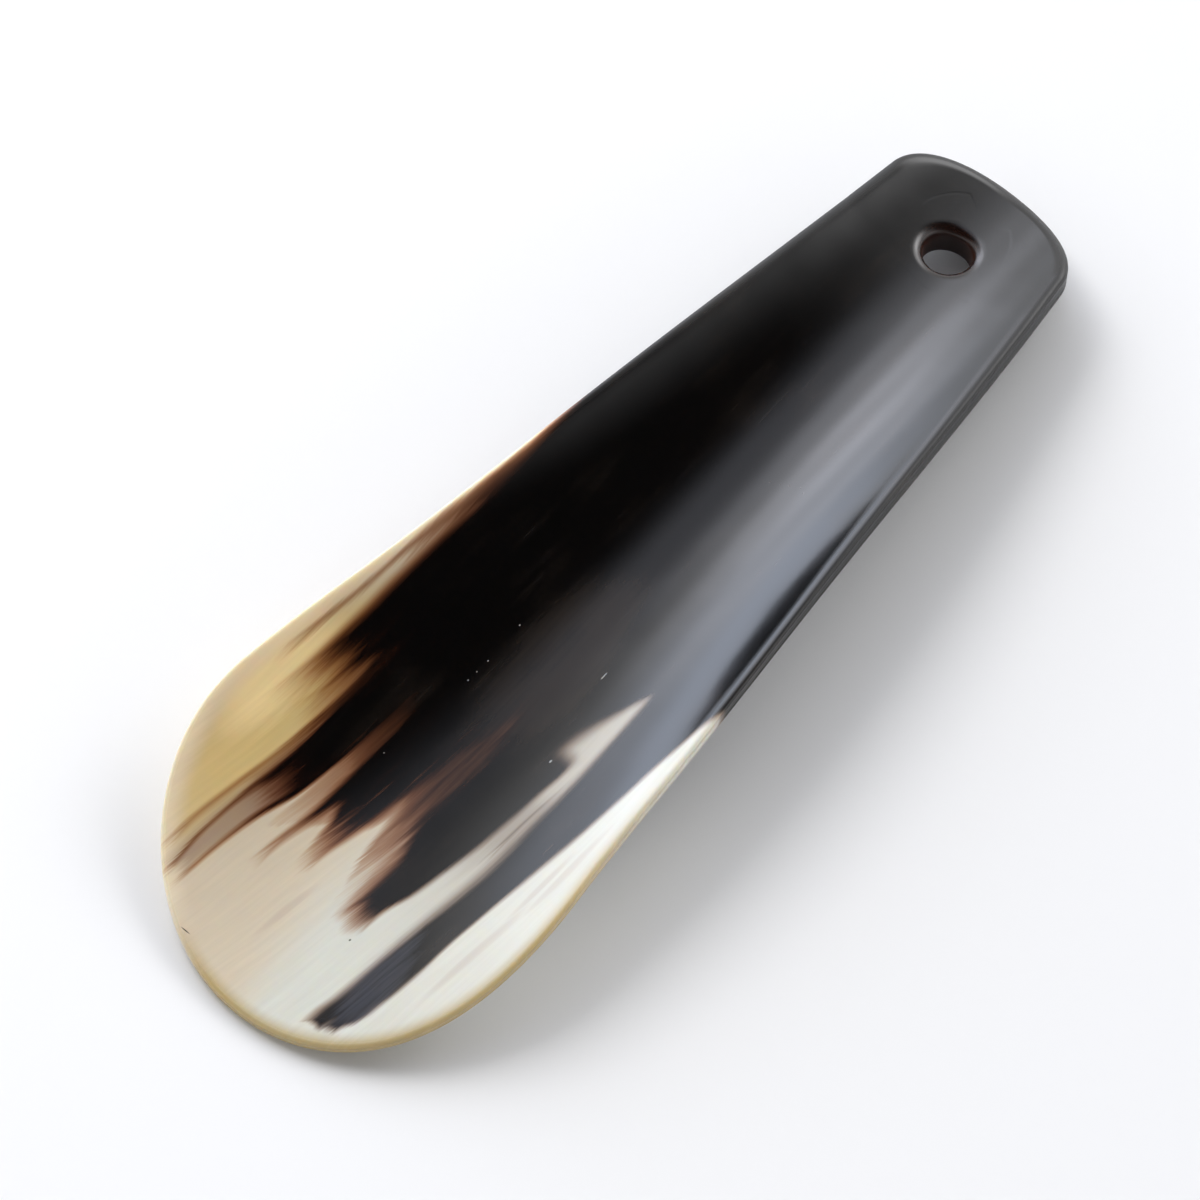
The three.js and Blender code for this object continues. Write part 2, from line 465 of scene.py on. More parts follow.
def along(tree, x, points, low=-SPAN_Y, high=SPAN_Y):
    """A smooth curve through (x, value) points, read at x."""
    unit = [(px / LENGTH, (value - low) / (high - low)) for px, value in points]
    curve = smooth_curve(tree, calc(tree, "DIVIDE", x, LENGTH), unit)
    return calc(tree, "MULTIPLY_ADD", curve, high - low, low)


def across_curve(tree, y, points):
    """A smooth curve through (y, x) points, read at y."""
    unit = [((py + SPAN_Y) / (2 * SPAN_Y), x / LENGTH) for py, x in points]
    share = calc(tree, "MULTIPLY_ADD", y, 1 / (2 * SPAN_Y), 0.5)
    return calc(tree, "MULTIPLY", smooth_curve(tree, share, unit), LENGTH)


# ---- Horn ----

# The horn's fibres, as how far one has moved towards the far side at x, from where it ends up.
# They run with the streaks, so everything below follows them.
FIBRE = [(0, 7.0), (4, 5.8), (8, 4.6), (14, 3.2), (20, 1.8), (26, 0.6), (32, 0.1), (40, 0),
         (50, 0.4), (60, 0.9), (90, 1.2), (LENGTH, 0.4)]

# Dark fingers that reach along the fibres from the handle's black into the pale blade. Each has
# its edges as (x, far edge, near edge), the width of the brown fringe on those two edges, where
# its tip starts, how many fringes deep it gets per millimetre past it, how many millimetres its
# single streaks run ahead or fall behind, and how dense it is along x.
SOLID = [(0, 1), (LENGTH, 1)]
FINGERS = {
    "body": {
        "edges": [(44, 14.3, 7), (48, 16.5, -3.5), (52, 17.4, -6.0), (56, 17.5, -9.2),
                  (60, 17.2, -13), (64, 17, -19), (68, 16.9, -26), (78, 17.4, -29), (84, 20, -29),
                  (92, 24, -29), (LENGTH, 29, -29)],
        "fringe": (0.45, 2.0), "tip": 40, "taper": 0.3, "ragged": 4, "dense": SOLID,
    },
    "far_rim": {
        "edges": [(30, 18.2, 16.9), (36, 18.5, 16.0), (40, 18.5, 15.1), (44, 18.5, 14.4),
                  (48, 18.5, 12), (54, 18.4, 8), (60, 18.1, 4), (72, 17.3, 0), (80, 17.2, 0),
                  (90, 20, 0), (LENGTH, 29, 0)],
        "fringe": (0.5, 0.5), "tip": 36.6, "taper": 0.3, "ragged": 3, "dense": SOLID,
    },
    "long": {
        "edges": [(6, 16.7, 15.0), (10, 16.9, 14.2), (15, 16.6, 13.0), (20, 15.6, 11.6),
                  (25, 14.5, 10.2), (30, 13.9, 9.4), (35, 13.8, 9.0), (40, 14.0, 8.7),
                  (45, 15, 7), (52, 17, 0), (LENGTH, 17, 0)],
        "fringe": (0.6, 0.5), "tip": 7.3, "taper": 0.9, "ragged": 3,
        "dense": [(0, 0), (18, 0.05), (22, 0.3), (26, 0.62), (30, 0.86), (34, 0.97), (LENGTH, 1)],
    },
    "long_core": {
        "edges": [(20, 13.4, 12.0), (24, 12.9, 10.7), (28, 13.0, 10.0), (34, 13.4, 9.4),
                  (42, 14, 9), (LENGTH, 14, 9)],
        "fringe": (0.7, 0.5), "tip": 23.5, "taper": 0.26, "ragged": 3.5, "dense": SOLID,
    },
    "long_beside": {
        "edges": [(26, 14.9, 13.4), (30, 14.6, 13.0), (36, 14.3, 12.6), (42, 14.6, 12),
                  (LENGTH, 14.6, 12)],
        "fringe": (0.3, 0.5), "tip": 28.5, "taper": 0.26, "ragged": 4,
        "dense": [(0, 0.8), (36, 0.82), (42, 0.95), (LENGTH, 1)],
    },
    "bay": {
        "edges": [(32, 16.4, 13.5), (40, 16, 13), (LENGTH, 16, 13)],
        "fringe": (0.5, 0.5), "tip": 33, "taper": 0.28, "ragged": 3,
        "dense": [(0, 0.5), (38, 0.58), (43, 0.95), (48, 1), (LENGTH, 1)],
    },
    "long_far_line": {
        "edges": [(7, 16.2, 15.9), (12, 15.9, 15.5), (16, 15.4, 15.0), (20, 14.8, 14.2),
                  (24, 14.1, 13.1), (30, 13.4, 12.4), (LENGTH, 13, 12)],
        "fringe": (0.22, 0.28), "tip": 8.5, "taper": 0.5, "ragged": 6,
        "dense": [(0, 0.5), (14, 0.55), (20, 0.78), (26, 0.95), (LENGTH, 0.95)],
    },
    "long_near_line": {
        "edges": [(7, 14.9, 14.5), (12, 13.9, 13.4), (18, 12.6, 11.9), (24, 11.0, 10.1),
                  (30, 10.2, 9.4), (LENGTH, 10, 9)],
        "fringe": (0.25, 0.25), "tip": 8, "taper": 0.5, "ragged": 6,
        "dense": [(0, 0.5), (13, 0.55), (19, 0.78), (25, 0.92), (LENGTH, 0.92)],
    },
    "long_outer_line": {
        "edges": [(10, 17.8, 17.4), (15, 17.2, 16.7), (20, 16.1, 15.6), (26, 14.9, 14.5),
                  (LENGTH, 14.5, 14)],
        "fringe": (0.3, 0.4), "tip": 12, "taper": 0.35, "ragged": 8,
        "dense": [(0, 0.34), (20, 0.42), (28, 0.6), (LENGTH, 0.6)],
    },
    "middle_far": {
        "edges": [(14, 9.4, 8.9), (18, 8.8, 8.2), (22, 8.1, 7.0), (26, 7.7, 5.9), (30, 7.6, 4.5),
                  (36, 7.5, 2), (42, 7.6, 0.8), (48, 10, -2), (60, 14, -4), (LENGTH, 14, -4)],
        "fringe": (0.4, 0.5), "tip": 17.0, "taper": 0.36, "ragged": 3,
        "dense": [(0, 0.75), (20, 0.8), (25, 0.97), (29, 1), (LENGTH, 1)],
    },
    "middle_near": {
        "edges": [(17, 5.2, 4.2), (20, 5.2, 3.6), (23, 5.6, 2.8), (26, 6.4, 2.0), (30, 7, 1.6),
                  (36, 7, 1.2), (42, 7.5, 0.8), (48, 10, -2), (60, 14, -4), (LENGTH, 14, -4)],
        "fringe": (0.5, 0.5), "tip": 20.2, "taper": 0.34, "ragged": 3.5,
        "dense": [(0, 0.85), (25, 0.9), (28, 1), (LENGTH, 1)],
    },
    "dusk": {
        "edges": [(22, 10, 7), (28, 9.5, 0.3), (34, 9.4, -1.8), (48, 9.4, -4), (LENGTH, 9.4, -4)],
        "fringe": (0.3, 0.9), "tip": 21.5, "taper": 0.2, "ragged": 4,
        "dense": [(0, 0.28), (27, 0.38), (31, 0.62), (35, 0.8), (39, 0.93), (43, 1), (LENGTH, 1)],
    },
    "between": {
        "edges": [(20, -0.8, -2.2), (25, 0.2, -3.0), (30, 0.7, -4), (38, 0.9, -5),
                  (LENGTH, 0.9, -5)],
        "fringe": (0.6, 0.8), "tip": 22.5, "taper": 0.17, "ragged": 5,
        "dense": [(0, 0.7), (26, 0.78), (30, 0.9), (36, 0.95), (42, 1), (LENGTH, 1)],
    },
    "broad": {
        "edges": [(14, -2.4, -5.2), (18, -2.6, -6.0), (22, -2.9, -7.6), (25, -3.0, -8.4),
                  (28, -2.2, -9.1), (32, -1.6, -9.8), (36, -1.3, -10.1), (41, 0, -10.4),
                  (44, 1, -10.7), (48, 3, -11.6), (56, 6, -12.6), (LENGTH, 6, -13)],
        "fringe": (0.8, 0.42), "tip": 16.6, "taper": 0.5, "ragged": 2, "dense": SOLID,
    },
    "near": {
        "edges": [(3, -6.7, -8.3), (6, -7.3, -9.9), (8, -8.0, -11.3), (12, -8.9, -13.3),
                  (18, -10.4, -14.7), (24, -11.9, -16.0), (30, -12.8, -17.3), (36, -12.7, -18.2),
                  (44, -12.3, -18.9), (50, -11.9, -19.5), (56, -11.4, -20.4), (60, -9, -22),
                  (66, -5, -26), (LENGTH, 0, -29)],
        "fringe": (0.5, 0.38), "tip": 3.7, "taper": 2.4, "ragged": 1.6,
        "dense": [(0, 0.9), (10, 0.88), (16, 0.95), (24, 1), (LENGTH, 1)],
    },
    "near_lobe": {
        "edges": [(3, -8.8, -9.8), (5, -9.0, -10.6), (7, -9.6, -11.9), (10, -10.5, -13.0),
                  (14, -11.5, -14.2), (20, -12.5, -15.2), (LENGTH, -13, -16)],
        "fringe": (0.4, 0.28), "tip": 4.2, "taper": 1.8, "ragged": 2.2,
        "dense": [(0, 0.92), (8, 0.86), (12, 0.7), (18, 0.9), (LENGTH, 0.9)],
    },
    "near_edge": {
        "edges": [(18, -9.8, -10.6), (24, -10.9, -12.2), (30, -11.8, -13), (36, -12.1, -13),
                  (48, -11.7, -12.6), (57, -11.1, -12), (LENGTH, -11, -12)],
        "fringe": (0.55, 0.3), "tip": 16, "taper": 0.2, "ragged": 8,
        "dense": [(0, 0.3), (24, 0.36), (LENGTH, 0.45)],
    },
    "near_band": {
        "edges": [(18, -7, -12), (26, -8, -13.5), (34, -9, -13.5), (42, -6, -13), (50, -3, -13),
                  (LENGTH, -3, -13)],
        "fringe": (0.8, 0.6), "tip": 19, "taper": 0.12, "ragged": 6,
        "dense": [(0, 0.06), (24, 0.1), (30, 0.2), (36, 0.3), (41, 0.16), (50, 0.14), (LENGTH, 0.14)],
    },
    "near_streak": {
        "edges": [(28, -10.9, -11.4), (35, -11.3, -11.7), (40, -11.6, -11.9),
                  (LENGTH, -12.5, -12.9)],
        "fringe": (0.2, 0.25), "tip": 30.5, "taper": 0.5, "ragged": 8,
        "dense": [(0, 0.45), (34, 0.45), (40, 0.2), (44, 0), (LENGTH, 0)],
    },
    "far_fringe": {
        "edges": [(36, 19.1, 17), (44, 19.1, 17), (52, 19.1, 17), (58, 19.1, 17), (64, 18.9, 16),
                  (72, 18.2, 16), (LENGTH, 18, 15)],
        "fringe": (0.4, 0.5), "tip": 33, "taper": 0.25, "ragged": 4,
        "dense": [(0, 0.42), (44, 0.46), (56, 0.48), (64, 0.5), (80, 0.62), (LENGTH, 0.8)],
    },
    "far_strip": {
        "edges": [(36, 21.5, 21.0), (40, 21.1, 20.6), (46, 20.6, 20.1), (52, 20.2, 19.4),
                  (58, 19.8, 18.5), (64, 19.2, 17.2), (70, 18.6, 16), (80, 18.6, 15),
                  (LENGTH, 20, 15)],
        "fringe": (0.22, 0.35), "tip": 37, "taper": 0.3, "ragged": 8,
        "dense": [(0, 0.45), (50, 0.42), (60, 0.42), (72, 0.46), (LENGTH, 0.6)],
    },
}

CREAM = (0.665, 0.575, 0.435)
AMBER = (0.70, 0.55, 0.245)
IVORY = (0.68, 0.68, 0.61)
OCHRE = (0.47, 0.36, 0.15)
CHALK = (0.80, 0.72, 0.55)
GOLD = (0.95, 0.82, 0.46)
MILKY = (0.36, 0.255, 0.185)
SMOKE = (0.017, 0.012, 0.0085)
NEAR_MILK = (0.05, 0.053, 0.068)
# Painted reddish glow of light shining through the thin horn, laid into the bore's colour.
PAINTED_BORE_GLOW = (0.032, 0.009, 0.0045)
PIT_BROWN = (0.03, 0.02, 0.016)
FAINT_PINK = (0.38, 0.26, 0.22)
DUST = (0.42, 0.42, 0.41)
DARKEST = (0.0012, 0.0009, 0.0008)

# How much of red, green and blue the pigment takes away: first a translucent amber, which turns
# greyer towards the near side as painted light (a painted reflection of the window's veil there, and
# painted shade where no light shines through from behind), then black, which comes in as a high power
# of the pigment.
AMBER_TAKES = (1.85, 3.15, 4.0)
PAINTED_VEIL_TAKES = (1.9, 2.3, 2.5)
BLACK_TAKES = (5.8, 5.8, 5.8)
BLACK_POWER = 5.0
PAINTED_VEIL_ACROSS = (-3.0, -9.0)           # y over which the amber gives way to the painted grey of the veil and of the missing light from behind

# Noises drawn out along the fibres, each as how far x is shortened, then its scale, detail and
# roughness.
GRAIN = {
    "streaks": (0.055, 1.6, 3.0, 0.6),
    "fine": (0.03, 7.0, 2.0, 0.6),
    "cloud": (0.35, 0.16, 2.0, 0.5),
    "broad": (0.05, 0.55, 1.0, 0.5),
    "lanes": (0.06, 0.9, 3.0, 0.6),
}
FEATHER = {"broad": 0.7, "streaks": 0.55, "fine": 0.5}    # how much each frays the fingers
SIDE_RAGGED = 0.9               # fringe widths by which the feather moves a finger's edge
FRINGE_REACH = (-1.2, 2.0)      # fringe widths inside its edge at which pigment starts and is full

# Where the lanes run high the fingers thin, and brown glows through them. Each glow has its middle
# (x, fibre), its reach along and across, and how strongly it thins, out of 1.
THIN_STREAKS = 0.34             # the most pigment that thinning takes away, out of 1
THIN_LANES = (0.0, 0.26)        # the noise over which a lane goes from full to thin
THIN_ALONG = (52.0, 32.0)       # x over which the thinning comes in, towards the tip
THIN_ACROSS = (-6.0, -2.0)      # fibres over which it comes in, towards the far side
GLOW_RAGGED = 1.7
GLOW_EDGE = (0.15, 1.3)
GLOWS = [((36, -0.9), (16, 2.8), 0.95), ((34, 8.1), (10, 1.5), 0.6), ((38, 13.8), (10, 1.3), 0.6)]

# Where the pale horn changes colour. A spot has its middle (x, y) and its reach along and across,
# and a share says how far the colour takes over.
IVORY_ACROSS = (5.0, -4.0)      # y over which cream turns to ivory
IVORY_RAGGED = 6.0
SPOTS_RAGGED = 2.0
AMBER_SPOT = ((28, 18.0), (26, 7.5))
GOLD_SPOT = ((32, 20.3), (11, 4.0))
GOLD_SHARE = 0.75
CHALK_INSET = (3.2, 0.6)        # insets over which the far rim turns chalky
CHALK_ACROSS = (9.0, 16.0)
CHALK_SHARE = 0.8
OCHRE_INSET = (2.0, 0.1)        # and over which the near rim and the tip turn ochre
OCHRE_ALONG = (54.0, 26.0)
OCHRE_ACROSS = (13.0, 4.0)
OCHRE_SHARE = 0.85
GRAIN_CONTRAST = 0.18

# Two hazes that lie over the pigment: each its spot, how ragged it is, and where it starts and
# is full.
SMOKE_SPOT = ((53, 0.3), (20, 7))
SMOKE_RAGGED = 1.1
SMOKE_CLOUDED = 3.0
SMOKE_EDGE = (0.0, 1.25)
NEAR_MILK_SPOT = ((11, -11.0), (11, 3.6))
NEAR_MILK_RAGGED = 1.6
NEAR_MILK_EDGE = (0.2, 1.3)
FAINT_SHARE = 0.25              # strength of the faint streaks

# Relief in millimetres, with each noise's scale, detail and roughness.
WAVE_HEIGHT = 0.04
WAVES = (0.11, 1.0, 0.4)
MOTTLE_HEIGHT = 0.0012
MOTTLE = (0.9, 3.0, 0.55)
GRAIN_HEIGHT = 0.0001

POLISH = 0.1                    # roughness of the polished faces
POLISH_VARIES = 0.03
DUST_ROUGHER = 0.4
WORN_ROUGHER = 0.34             # how much less polished the rim and the bore are than the faces
WORN_INSET = (1.8, 0.2)         # insets over which the rim gets duller
WORN_ALONG = (56.0, 84.0)       # x over which the blade's wear turns into the handle's
WORN_BLADE = 0.6                # the blade's wear, as a share of the handle's

HORN_IOR = 1.54
GLOW_THROUGH = 0.7              # subsurface weight
GLOW_RADIUS = (1.0, 0.7, 0.4)
GLOW_DEPTH = 2 * MM


def lane(x, y):
    """The fibre through a point of the blank, as where it ends up across."""
    return y - float(np.interp(x, *zip(*FIBRE)))


def finger_pigment(tree, x, fibre, feather, finger):
    """How much dark pigment one finger lays down, from 0 to its density."""
    ahead = calc(tree, "MULTIPLY_ADD", feather, finger["ragged"], x)
    far = along(tree, ahead, [(px, lane(px, far)) for px, far, _ in finger["edges"]])
    near = along(tree, ahead, [(px, lane(px, near)) for px, _, near in finger["edges"]])
    depths = []
    for gap, fringe in zip(((far, fibre), (fibre, near)), finger["fringe"]):
        depths.append(calc(tree, "DIVIDE", calc(tree, "SUBTRACT", *gap), fringe))
    past_tip = calc(tree, "SUBTRACT", ahead, finger["tip"])
    inside = calc(tree, "MINIMUM", *depths)
    inside = calc(tree, "MINIMUM", inside, calc(tree, "MULTIPLY", past_tip, finger["taper"]))
    inside = calc(tree, "MULTIPLY_ADD", feather, SIDE_RAGGED, inside)
    amount = ramp(tree, inside, *FRINGE_REACH)
    dense = along(tree, ahead, finger["dense"], 0.0, 1.0)
    return calc(tree, "MULTIPLY", amount, dense)


# A milky brown film over the pale horn along the long finger, laid out as the fingers are.
MIST = {
    "edges": [(5, 16.5, 15.0), (10, 16.8, 14.2), (15, 16.4, 13.0), (20, 15.4, 11.6),
              (26, 14.5, 10.2), (32, 14, 9), (LENGTH, 14, 9)],
    "fringe": (0.7, 0.3), "tip": 8, "taper": 0.9, "ragged": 4,
    "dense": [(0, 0.6), (16, 0.75), (24, 0.9), (LENGTH, 0.9)],
}

# The pale wedge between the broad finger and the near one: where along x it opens, and its soft
# far side as (x, where the pigment starts to thin, where it is gone).
FIRST_NEAR_FINGER = "near"      # this finger and those after it are not cleared
WEDGE_OPENS = [(-32, 44), (-12, 43.2), (-10.8, 43.4), (-9.6, 44.3), (-8.6, 44.2), (-7.6, 43.2),
               (-6.4, 41.4), (-4, 38), (32, 38)]
WEDGE_SOFT = (-1.4, 2.6)        # millimetres past that line over which it clears
WEDGE_RAGGED = 1.5
WEDGE = [(0, -7.0, -9.9), (43, -7.0, -9.9), (46, -6.4, -9.7), (49, -6.9, -10.0), (52, -8.2, -10.7),
         (55, -9.9, -11.5), (57, -11.0, -12.0), (59, -12.2, -13.0), (66, -22, -24),
         (LENGTH, -30, -31)]


def wedge(tree, x, y, feather):
    """How far the pigment is cleared from the pale wedge."""
    ahead = calc(tree, "MULTIPLY_ADD", feather, WEDGE_RAGGED, x)
    start = along(tree, ahead, [(px, start) for px, start, _ in WEDGE])
    gone = along(tree, ahead, [(px, gone) for px, _, gone in WEDGE])
    below = calc(tree, "SUBTRACT", start, y)
    depth = calc(tree, "DIVIDE", below, calc(tree, "SUBTRACT", start, gone))
    opens = across_curve(tree, y, WEDGE_OPENS)
    past = calc(tree, "SUBTRACT", x, opens)
    return calc(tree, "MULTIPLY", ramp(tree, depth, 0.0, 1.0), ramp(tree, past, *WEDGE_SOFT))


def thinned(tree, x, fibre, lanes, pigment):
    """Pigment that thins in long streaks through the fingers, less and less towards the handle."""
    share = calc(tree, "MULTIPLY", ramp(tree, lanes, *THIN_LANES), ramp(tree, x, *THIN_ALONG))
    share = calc(tree, "MULTIPLY", share, ramp(tree, fibre, *THIN_ACROSS))
    for centre, reach, most in GLOWS:
        glow = calc(tree, "MULTIPLY_ADD", lanes, GLOW_RAGGED, spot(tree, x, fibre, centre, reach))
        share = calc(tree, "MAXIMUM", share, ramp(tree, glow, *GLOW_EDGE, 0.0, most))
    return calc(tree, "MULTIPLY", pigment, calc(tree, "MULTIPLY_ADD", share, -THIN_STREAKS, 1.0))


def dark_pigment(tree, x, y, fibre, feather):
    """All the fingers laid over each other, with the pale wedge cleared from the far ones."""
    pigment = 0.0
    for name, finger in FINGERS.items():
        if name == FIRST_NEAR_FINGER:
            kept = calc(tree, "SUBTRACT", 1.0, wedge(tree, x, y, feather))
            pigment = calc(tree, "MULTIPLY", pigment, kept)
        amount = finger_pigment(tree, x, fibre, feather, finger)
        left = calc(tree, "SUBTRACT", 1.0, pigment)
        pigment = calc(tree, "MULTIPLY_ADD", left, amount, pigment)
    return pigment


def seen_through(tree, pigment, y):
    """The share of red, green and blue that comes back through the pigment."""
    black = calc(tree, "POWER", pigment, BLACK_POWER)
    # Towards the near side the pigment's tint is painted greyer: a painted reflection of the window's
    # veil, and painted shade from less light shining through.
    near = ramp(tree, y, *PAINTED_VEIL_ACROSS)
    shares = []
    for amber, grey, dark in zip(AMBER_TAKES, PAINTED_VEIL_TAKES, BLACK_TAKES):
        takes = calc(tree, "MULTIPLY_ADD", near, grey - amber, amber)
        depth = calc(tree, "MULTIPLY_ADD", black, dark, calc(tree, "MULTIPLY", takes, pigment))
        shares.append(calc(tree, "EXPONENT", calc(tree, "MULTIPLY", depth, -1.0)))
    return vector(tree, *shares)


def pale_colour(tree, x, y, inset, grain):
    """The unpigmented horn: cream, amber along the far side, ivory along the near side."""
    streaks = grain["streaks"]
    across = calc(tree, "MULTIPLY_ADD", grain["cloud"], IVORY_RAGGED, y)
    colour = blended(tree, ramp(tree, across, *IVORY_ACROSS), CREAM, IVORY)
    across = calc(tree, "MULTIPLY_ADD", streaks, SPOTS_RAGGED, y)
    colour = blended(tree, spot(tree, x, across, *AMBER_SPOT), colour, AMBER)
    gold = calc(tree, "MULTIPLY", spot(tree, x, across, *GOLD_SPOT), GOLD_SHARE)
    colour = blended(tree, gold, colour, GOLD)
    chalk = calc(tree, "MULTIPLY", ramp(tree, inset, *CHALK_INSET), ramp(tree, y, *CHALK_ACROSS))
    colour = blended(tree, calc(tree, "MULTIPLY", chalk, CHALK_SHARE), colour, CHALK)
    near_tip = calc(tree, "MULTIPLY", ramp(tree, x, *OCHRE_ALONG), ramp(tree, y, *OCHRE_ACROSS))
    ochre = calc(tree, "MULTIPLY", ramp(tree, inset, *OCHRE_INSET), near_tip)
    colour = blended(tree, calc(tree, "MULTIPLY", ochre, OCHRE_SHARE), colour, OCHRE)
    shade = calc(tree, "MULTIPLY_ADD", streaks, GRAIN_CONTRAST, 1.0)
    return blended(tree, 1.0, colour, vector(tree, shade, shade, shade), "MULTIPLY")


# Small marks, each as its middle (x, y) and how far it reaches along and across the fibres.
DARK_MARKS = {
    "dash_near": ((34.3, -16.4), (1.2, 0.16)),
    "edge_crack": ((3.5, 10.5), (0.09, 0.8)),
    "dot": ((14.0, -5.2), (0.2, 0.14)),
    "pit_1": ((87.4, -2.9), (0.22, 0.12)),
    "pit_2": ((87.9, -4.1), (0.16, 0.1)),
    "pit_3": ((88.2, -5.0), (0.24, 0.12)),
    "pit_4": ((88.6, -6.4), (0.14, 0.1)),
    "pit_5": ((88.1, -7.2), (0.18, 0.1)),
    "pit_6": ((76.0, -10.4), (0.7, 0.07)),
    "pit_7": ((78.2, -11.3), (0.9, 0.06)),
}
FAINT_STREAKS = {
    "tip_streak": ((12.5, 2.9), (5.5, 0.6)),
    "near_pink_1": ((20.0, -18.4), (9.0, 0.7)),
    "near_pink_2": ((33.0, -20.7), (8.0, 0.6)),
    "near_pink_3": ((30.0, -19.3), (6.0, 0.5)),
    "far_shade": ((12.5, 14.9), (4.5, 0.5)),
}
DUST_MARKS = {
    "speck_bright": ((43.8, -8.0), (0.28, 0.15)),
    "speck_1": ((46.1, 6.1), (0.13, 0.09)),
    "speck_2": ((47.5, 6.1), (0.1, 0.08)),
    "speck_3": ((49.3, 6.1), (0.13, 0.09)),
    "speck_4": ((54.9, 6.5), (0.14, 0.09)),
    "speck_5": ((33.5, 6.6), (0.1, 0.08)),
    "scratch": ((55.9, -4.9), (0.7, 0.1)),
}


def marked(tree, x, fibre, marks):
    """1 in the middle of each of the marks, 0 away from them all."""
    total = 0.0
    for (px, py), reach in marks.values():
        total = calc(tree, "MAXIMUM", spot(tree, x, fibre, (px, lane(px, py)), reach), total)
    return total


def hazed(tree, x, y, grain, colour):
    """Adds the light scattered in the horn over its dark parts: smoke, and milk near the tip."""
    drift = calc(tree, "MULTIPLY_ADD", grain["cloud"], SMOKE_CLOUDED, spot(tree, x, y, *SMOKE_SPOT))
    smoke = calc(tree, "MULTIPLY_ADD", grain["streaks"], SMOKE_RAGGED, drift)
    colour = blended(tree, ramp(tree, smoke, *SMOKE_EDGE), colour, SMOKE, "ADD")
    milky = spot(tree, x, y, *NEAR_MILK_SPOT)
    milk = calc(tree, "MULTIPLY_ADD", grain["streaks"], NEAR_MILK_RAGGED, milky)
    return blended(tree, ramp(tree, milk, *NEAR_MILK_EDGE), colour, NEAR_MILK, "ADD")


def horn_colour(tree, x, y, inset, fibre, grain):
    """The pale horn as it is seen through its milky film, its pigment and its hazes."""
    feather = 0.0
    for name, share in FEATHER.items():
        feather = calc(tree, "MULTIPLY_ADD", grain[name], share, feather)
    pigment = dark_pigment(tree, x, y, fibre, feather)
    pigment = thinned(tree, x, fibre, grain["lanes"], pigment)
    pale = pale_colour(tree, x, y, inset, grain)
    pale = blended(tree, finger_pigment(tree, x, fibre, feather, MIST), pale, MILKY)
    colour = blended(tree, 1.0, pale, seen_through(tree, pigment, y), "MULTIPLY")
    colour = blended(tree, 1.0, colour, DARKEST, "ADD")
    return hazed(tree, x, y, grain, colour)


def with_marks(tree, x, fibre, dust, bore, colour):
    """The colour with its faint streaks, pits and specks of dust, and a painted reddish glow in the
    bore for light shining through the horn.
    """
    faint = calc(tree, "MULTIPLY", marked(tree, x, fibre, FAINT_STREAKS), FAINT_SHARE)
    colour = blended(tree, faint, colour, FAINT_PINK)
    colour = blended(tree, marked(tree, x, fibre, DARK_MARKS), colour, PIT_BROWN)
    colour = blended(tree, dust, colour, DUST)
    # The bore and its mouth take a painted reddish glow, for light shining through the horn.
    return blended(tree, bore, colour, PAINTED_BORE_GLOW)


def horn_roughness(tree, x, inset, fine, dust, bore):
    """A high polish that is duller under dust, at the rim and in the bore."""
    rough = calc(tree, "MULTIPLY_ADD", fine, POLISH_VARIES, POLISH)
    rough = calc(tree, "MULTIPLY_ADD", dust, DUST_ROUGHER, rough)
    most = ramp(tree, x, *WORN_ALONG, WORN_BLADE, 1.0)
    worn = calc(tree, "MULTIPLY", ramp(tree, inset, *WORN_INSET), most)
    worn = calc(tree, "MAXIMUM", worn, bore)
    return calc(tree, "MULTIPLY_ADD", worn, WORN_ROUGHER, rough)


def horn_normal(tree, place, fine):
    """The polish's slight waves, and the fine relief of the fibres."""
    relief = calc(tree, "MULTIPLY", noise(tree, place, *WAVES), WAVE_HEIGHT)
    relief = calc(tree, "MULTIPLY_ADD", noise(tree, place, *MOTTLE), MOTTLE_HEIGHT, relief)
    relief = calc(tree, "MULTIPLY_ADD", fine, GRAIN_HEIGHT, relief)
    bump = tree.nodes.new("ShaderNodeBump")
    bump.inputs["Distance"].default_value = MM
    tree.links.new(relief, bump.inputs["Height"])
    return bump.outputs["Normal"]


def stored(tree, name):
    """The node that reads one of the mesh's own attributes."""
    node = tree.nodes.new("ShaderNodeAttribute")
    node.attribute_name = name
    return node


def horn_material():
    """Polished horn: pale keratin under a dark, feathered pigment that glows brown where thin."""
    material = bpy.data.materials.new("polished_horn")
    material.use_nodes = True
    tree = material.node_tree
    place = stored(tree, "blank").outputs["Vector"]
    bore = stored(tree, "bore").outputs["Fac"]
    split = tree.nodes.new("ShaderNodeSeparateXYZ")
    tree.links.new(place, split.inputs[0])
    x, y, inset = split.outputs
    fibre = calc(tree, "SUBTRACT", y, along(tree, x, FIBRE))
    grain = {name: fibre_noise(tree, x, fibre, *numbers) for name, numbers in GRAIN.items()}
    dust = marked(tree, x, fibre, DUST_MARKS)
    colour = horn_colour(tree, x, y, inset, fibre, grain)
    colour = with_marks(tree, x, fibre, dust, bore, colour)
    rough = horn_roughness(tree, x, inset, grain["fine"], dust, bore)
    shader = tree.nodes["Principled BSDF"]
    tree.links.new(colour, shader.inputs["Base Color"])
    tree.links.new(rough, shader.inputs["Roughness"])
    tree.links.new(horn_normal(tree, place, grain["fine"]), shader.inputs["Normal"])
    shader.inputs["Subsurface Weight"].default_value = GLOW_THROUGH
    shader.inputs["Subsurface Radius"].default_value = GLOW_RADIUS
    shader.inputs["Subsurface Scale"].default_value = GLOW_DEPTH
    shader.inputs["IOR"].default_value = HORN_IOR
    return material


# ---- Table, light and camera ----

